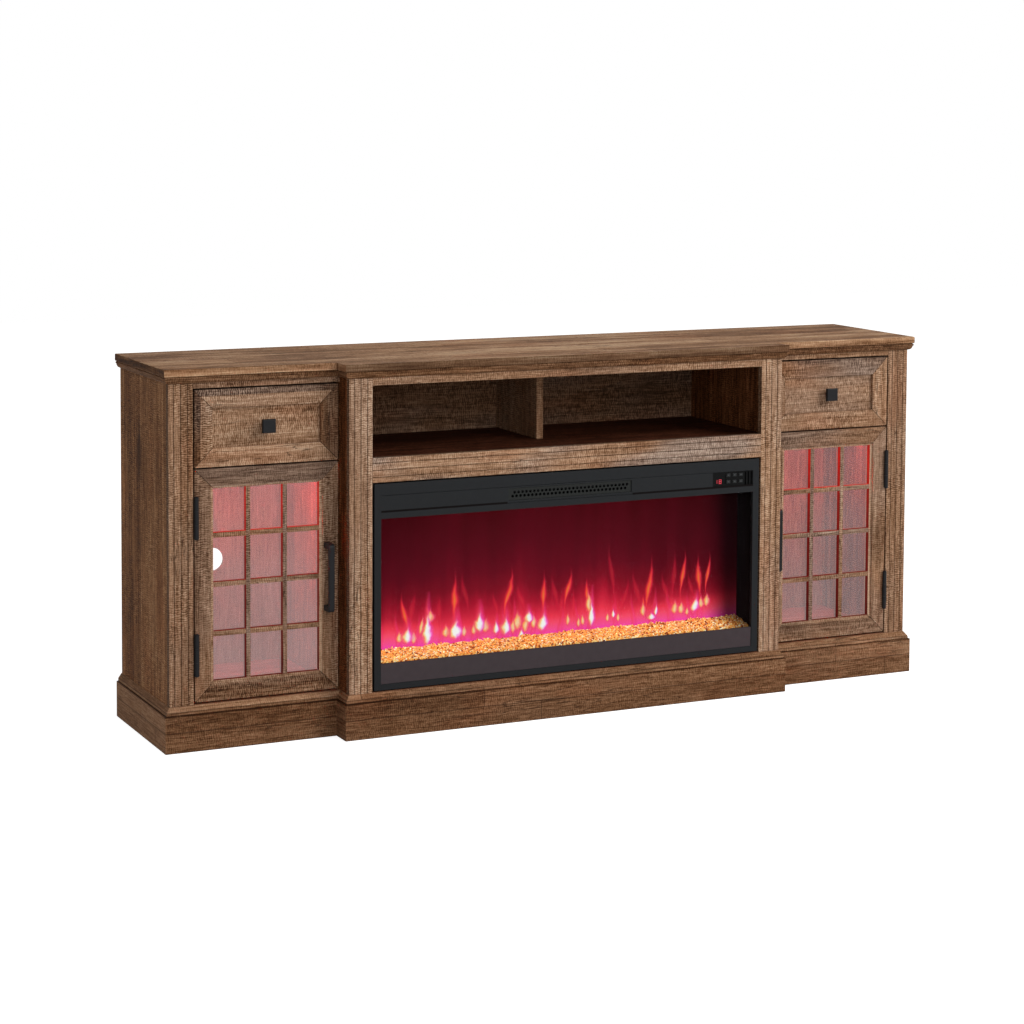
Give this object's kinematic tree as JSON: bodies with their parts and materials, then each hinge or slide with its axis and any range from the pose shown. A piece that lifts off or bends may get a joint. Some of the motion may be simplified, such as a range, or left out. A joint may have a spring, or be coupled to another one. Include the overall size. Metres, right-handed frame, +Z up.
{
  "type": "fireplace tv stand",
  "caption": "Wide break-front television stand in rustic wood with an open media niche, drawers, glazed cabinet doors and an electric fire with heater in the middle",
  "frame": {"origin": "on the floor under the middle of the object's bounding box", "axes": "+X is to the right as seen from the front, +Y is to the back, +Z is up; the front faces -Y"},
  "size_m": [1.778, 0.395, 0.773],
  "materials": {
    "rustic_wood": "dark rustic oak laminate with saw marks, satin",
    "dark_wood": "dark rustic laminate of the inner boards, satin",
    "panel_wood": "printed fibreboard, matt",
    "black_metal": "black powder coat, satin",
    "black_steel": "charcoal painted sheet steel, satin",
    "zinc_steel": "zinc-coated sheet steel, dull",
    "smoked_glass": "lightly smoked clear glass",
    "door_glass": "clear glass",
    "flame_screen": "diffusing screen lit from behind by the flame effect",
    "ember_glass": "crushed glass embers lit from below",
    "bare_metal": "bare aluminium, polished by handling",
    "mesh_steel": "black perforated sheet steel",
    "black_plastic": "black moulded plastic, fine texture",
    "key_plastic": "dark grey moulded plastic keys",
    "led_diffuser": "frosted diffuser of a lit light strip"
  },
  "bodies": {
    "stand": {"top_board": "rustic_wood", "cornice_moulding": "rustic_wood", "plinth": "rustic_wood", "base_panel": "dark_wood", "centre_rail": "rustic_wood", "left_frieze": "rustic_wood", "right_frieze": "rustic_wood", "centre_frieze": "rustic_wood", "niche_floor": "dark_wood", "niche_divider": "rustic_wood", "left_back_panel": "panel_wood", "right_back_panel": "panel_wood", "centre_back_panel": "panel_wood", "fire_bezel": "black_steel", "fire_case": "zinc_steel", "fire_glass": "smoked_glass", "flame_screen": "flame_screen", "ember_bed": "ember_glass", "heater_grille": "mesh_steel", "control_panel": "black_plastic", "left_outer_side": "rustic_wood", "left_inner_side": "rustic_wood", "left_outer_pilaster": "rustic_wood", "left_centre_pilaster": "rustic_wood", "left_drawer_deck": "dark_wood", "left_led_strip": "led_diffuser", "left_upper_hinge_frame_leaf": "black_metal", "left_lower_hinge_frame_leaf": "black_metal", "right_outer_side": "rustic_wood", "right_inner_side": "rustic_wood", "right_outer_pilaster": "rustic_wood", "right_centre_pilaster": "rustic_wood", "right_drawer_deck": "dark_wood", "right_led_strip": "led_diffuser", "right_upper_hinge_frame_leaf": "black_metal", "right_lower_hinge_frame_leaf": "black_metal"},
    "left_door": {"left_door_frame": "rustic_wood", "left_door_glass": "door_glass", "left_door_pull": "black_metal", "left_lower_hinge_door_leaf": "black_metal", "left_upper_hinge_door_leaf": "black_metal"},
    "left_drawer": {"left_drawer_front": "rustic_wood", "left_drawer_box": "panel_wood", "left_drawer_knob": "black_metal"},
    "right_door": {"right_door_frame": "rustic_wood", "right_door_glass": "door_glass", "right_door_pull": "black_metal", "right_lower_hinge_door_leaf": "black_metal", "right_upper_hinge_door_leaf": "black_metal"},
    "right_drawer": {"right_drawer_front": "rustic_wood", "right_drawer_box": "panel_wood", "right_drawer_knob": "black_metal"},
    "button_1": {"control_button_1": "key_plastic"},
    "button_2": {"control_button_2": "key_plastic"},
    "button_3": {"control_button_3": "key_plastic"},
    "button_4": {"control_button_4": "key_plastic"},
    "button_5": {"control_button_5": "key_plastic"},
    "button_6": {"control_button_6": "key_plastic"},
    "flame_spindle": {"flame_rotor": "bare_metal"},
    "blower": {"blower_wheel": "bare_metal"}
  },
  "joints": [
    {"name": "left_door_hinge", "type": "hinge", "parent": "stand", "child": "left_door", "pos_m": [-0.8208, -0.1389, 0.3325], "axis": [0, 0, -1], "range_deg": [0, 110]},
    {"name": "right_door_hinge", "type": "hinge", "parent": "stand", "child": "right_door", "pos_m": [0.8208, -0.1389, 0.3325], "axis": [0, 0, 1], "range_deg": [0, 110]},
    {"name": "left_drawer_slide", "type": "slide", "parent": "stand", "child": "left_drawer", "axis": [0, -1, 0], "range_m": [0, 0.22]},
    {"name": "right_drawer_slide", "type": "slide", "parent": "stand", "child": "right_drawer", "axis": [0, -1, 0], "range_m": [0, 0.22]},
    {"name": "button_1_press", "type": "slide", "parent": "stand", "child": "button_1", "axis": [0, 1, 0], "range_m": [0, 0.0012], "stiffness_N_per_m": 400},
    {"name": "button_2_press", "type": "slide", "parent": "stand", "child": "button_2", "axis": [0, 1, 0], "range_m": [0, 0.0012], "stiffness_N_per_m": 400},
    {"name": "button_3_press", "type": "slide", "parent": "stand", "child": "button_3", "axis": [0, 1, 0], "range_m": [0, 0.0012], "stiffness_N_per_m": 400},
    {"name": "button_4_press", "type": "slide", "parent": "stand", "child": "button_4", "axis": [0, 1, 0], "range_m": [0, 0.0012], "stiffness_N_per_m": 400},
    {"name": "button_5_press", "type": "slide", "parent": "stand", "child": "button_5", "axis": [0, 1, 0], "range_m": [0, 0.0012], "stiffness_N_per_m": 400},
    {"name": "button_6_press", "type": "slide", "parent": "stand", "child": "button_6", "axis": [0, 1, 0], "range_m": [0, 0.0012], "stiffness_N_per_m": 400},
    {"name": "flame_spindle_turn", "type": "hinge", "parent": "stand", "child": "flame_spindle", "pos_m": [0, -0.0815, 0.16725], "axis": [1, 0, 0], "continuous": true},
    {"name": "blower_turn", "type": "hinge", "parent": "stand", "child": "blower", "pos_m": [-0.007, -0.1395, 0.4875], "axis": [1, 0, 0], "continuous": true}
  ]
}
